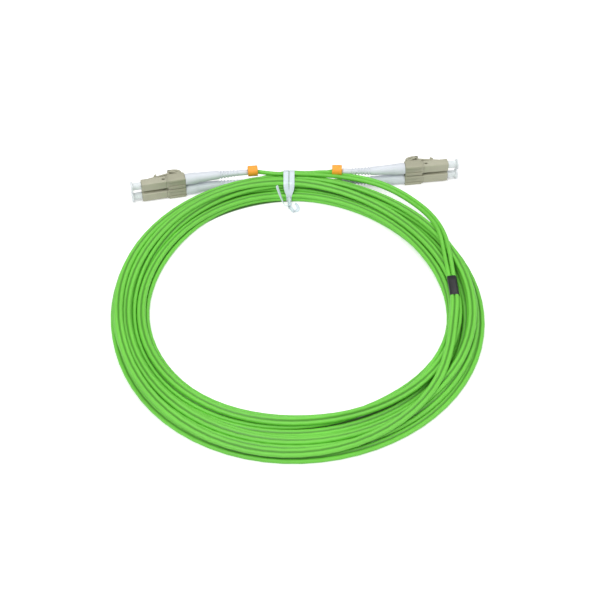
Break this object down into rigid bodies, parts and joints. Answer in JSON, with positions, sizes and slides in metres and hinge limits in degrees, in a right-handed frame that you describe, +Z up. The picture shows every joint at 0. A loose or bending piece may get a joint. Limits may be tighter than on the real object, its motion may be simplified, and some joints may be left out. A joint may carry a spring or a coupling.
{
  "type": "fiber optic patch cord",
  "caption": "Duplex fibre optic patch cord wound in a flat coil and held by a twist tie, with a latched, capped plug pair, boots and a marker ring at each end.",
  "frame": {"origin": "middle of the whole part's bounding box, at the surface that the coil lies on", "axes": "+Z up from the surface; +Y from the coil's near side to the side with the twist tie and the plugs; +X towards the plug pair that points right in the picture"},
  "size_m": [0.1665, 0.1858, 0.014],
  "materials": {
    "plug_plastic": "beige-grey moulded plastic, fine satin",
    "clip_plastic": "beige-grey moulded plastic, fine satin",
    "boot_plastic": "soft white, slightly translucent",
    "cap_plastic": "clear to milky",
    "ferrule_ceramic": "polished white",
    "holder_metal": "turned nickel look",
    "spring_steel": "drawn wire",
    "crimp_metal": "pressed, satin",
    "fibre_coating": "thin white coating",
    "cord_jacket": "lime green jacket, satin",
    "sleeve_black": "black shrink tube, satin",
    "marker_plastic": "orange, satin",
    "tie_plastic": "milky translucent strip with a thin wire in it"
  },
  "bodies": {
    "cord": {"cord_coil": "cord_jacket", "left_duplex_clip": "clip_plastic", "left_lower_boot": "boot_plastic", "left_lower_crimp_sleeve": "crimp_metal", "left_lower_ferrule_spring": "spring_steel", "left_lower_fibre": "fibre_coating", "left_lower_front_housing": "plug_plastic", "left_lower_leg": "cord_jacket", "left_lower_rear_body": "plug_plastic", "left_marker_ring": "marker_plastic", "left_upper_boot": "boot_plastic", "left_upper_crimp_sleeve": "crimp_metal", "left_upper_ferrule_spring": "spring_steel", "left_upper_fibre": "fibre_coating", "left_upper_front_housing": "plug_plastic", "left_upper_leg": "cord_jacket", "left_upper_rear_body": "plug_plastic", "lower_split_sleeve": "sleeve_black", "right_duplex_clip": "clip_plastic", "right_lower_boot": "boot_plastic", "right_lower_crimp_sleeve": "crimp_metal", "right_lower_ferrule_spring": "spring_steel", "right_lower_fibre": "fibre_coating", "right_lower_front_housing": "plug_plastic", "right_lower_leg": "cord_jacket", "right_lower_rear_body": "plug_plastic", "right_marker_ring": "marker_plastic", "right_upper_boot": "boot_plastic", "right_upper_crimp_sleeve": "crimp_metal", "right_upper_ferrule_spring": "spring_steel", "right_upper_fibre": "fibre_coating", "right_upper_front_housing": "plug_plastic", "right_upper_leg": "cord_jacket", "right_upper_rear_body": "plug_plastic", "twist_tie": "tie_plastic", "upper_split_sleeve": "sleeve_black"},
    "left_trigger": {"left_clip_trigger": "clip_plastic"},
    "left_upper_latch": {"left_upper_latch_lever": "plug_plastic"},
    "left_upper_ferrule": {"left_upper_ferrule": "ferrule_ceramic", "left_upper_ferrule_holder": "holder_metal"},
    "left_upper_cap": {"left_upper_dust_cap": "cap_plastic"},
    "left_lower_latch": {"left_lower_latch_lever": "plug_plastic"},
    "left_lower_ferrule": {"left_lower_ferrule": "ferrule_ceramic", "left_lower_ferrule_holder": "holder_metal"},
    "left_lower_cap": {"left_lower_dust_cap": "cap_plastic"},
    "right_trigger": {"right_clip_trigger": "clip_plastic"},
    "right_upper_latch": {"right_upper_latch_lever": "plug_plastic"},
    "right_upper_ferrule": {"right_upper_ferrule": "ferrule_ceramic", "right_upper_ferrule_holder": "holder_metal"},
    "right_upper_cap": {"right_upper_dust_cap": "cap_plastic"},
    "right_lower_latch": {"right_lower_latch_lever": "plug_plastic"},
    "right_lower_ferrule": {"right_lower_ferrule": "ferrule_ceramic", "right_lower_ferrule_holder": "holder_metal"},
    "right_lower_cap": {"right_lower_dust_cap": "cap_plastic"}
  },
  "joints": [
    {"name": "left_trigger_press", "type": "hinge", "parent": "cord", "child": "left_trigger", "pos_m": [-0.05763, 0.07994, 0.00592], "axis": [0, 0, 1], "range_deg": [0, 8.6], "stiffness_Nm_per_rad": 0.004, "springref_deg": -8.59},
    {"name": "left_upper_latch_press", "type": "hinge", "parent": "cord", "child": "left_upper_latch", "pos_m": [-0.07337, 0.07563, 0.00905], "axis": [0, 0, -1], "range_deg": [0, 5.2], "stiffness_Nm_per_rad": 0.002, "springref_deg": -5.73},
    {"name": "left_upper_ferrule_travel", "type": "slide", "parent": "cord", "child": "left_upper_ferrule", "axis": [0.9763, 0.2164, 0], "range_m": [0, 0.0006], "stiffness_N_per_m": 300, "springref_m": -0.004},
    {"name": "left_upper_cap_pull", "type": "slide", "parent": "cord", "child": "left_upper_cap", "axis": [-0.9763, -0.2164, 0], "range_m": [0, 0.01]},
    {"name": "left_lower_latch_press", "type": "hinge", "parent": "cord", "child": "left_lower_latch", "pos_m": [-0.07337, 0.07563, 0.0028], "axis": [0, 0, -1], "range_deg": [0, 5.2], "stiffness_Nm_per_rad": 0.002, "springref_deg": -5.73},
    {"name": "left_lower_ferrule_travel", "type": "slide", "parent": "cord", "child": "left_lower_ferrule", "axis": [0.9763, 0.2164, 0], "range_m": [0, 0.0006], "stiffness_N_per_m": 300, "springref_m": -0.004},
    {"name": "left_lower_cap_pull", "type": "slide", "parent": "cord", "child": "left_lower_cap", "axis": [-0.9763, -0.2164, 0], "range_m": [0, 0.01]},
    {"name": "right_trigger_press", "type": "hinge", "parent": "cord", "child": "right_trigger", "pos_m": [0.05273, 0.08864, 0.00592], "axis": [0, 0, -1], "range_deg": [0, 8.6], "stiffness_Nm_per_rad": 0.004, "springref_deg": -8.59},
    {"name": "right_upper_latch_press", "type": "hinge", "parent": "cord", "child": "right_upper_latch", "pos_m": [0.069, 0.08997, 0.00905], "axis": [0, 0, 1], "range_deg": [0, 5.2], "stiffness_Nm_per_rad": 0.002, "springref_deg": -5.73},
    {"name": "right_upper_ferrule_travel", "type": "slide", "parent": "cord", "child": "right_upper_ferrule", "axis": [-0.9914, -0.1305, 0], "range_m": [0, 0.0006], "stiffness_N_per_m": 300, "springref_m": -0.004},
    {"name": "right_upper_cap_pull", "type": "slide", "parent": "cord", "child": "right_upper_cap", "axis": [0.9914, 0.1305, 0], "range_m": [0, 0.01]},
    {"name": "right_lower_latch_press", "type": "hinge", "parent": "cord", "child": "right_lower_latch", "pos_m": [0.069, 0.08997, 0.0028], "axis": [0, 0, 1], "range_deg": [0, 5.2], "stiffness_Nm_per_rad": 0.002, "springref_deg": -5.73},
    {"name": "right_lower_ferrule_travel", "type": "slide", "parent": "cord", "child": "right_lower_ferrule", "axis": [-0.9914, -0.1305, 0], "range_m": [0, 0.0006], "stiffness_N_per_m": 300, "springref_m": -0.004},
    {"name": "right_lower_cap_pull", "type": "slide", "parent": "cord", "child": "right_lower_cap", "axis": [0.9914, 0.1305, 0], "range_m": [0, 0.01]}
  ],
  "couplings": [
    {"joint": "left_upper_latch_press", "follows": "left_trigger_press", "ratio": 0.6},
    {"joint": "left_lower_latch_press", "follows": "left_trigger_press", "ratio": 0.6},
    {"joint": "right_upper_latch_press", "follows": "right_trigger_press", "ratio": 0.6},
    {"joint": "right_lower_latch_press", "follows": "right_trigger_press", "ratio": 0.6}
  ]
}
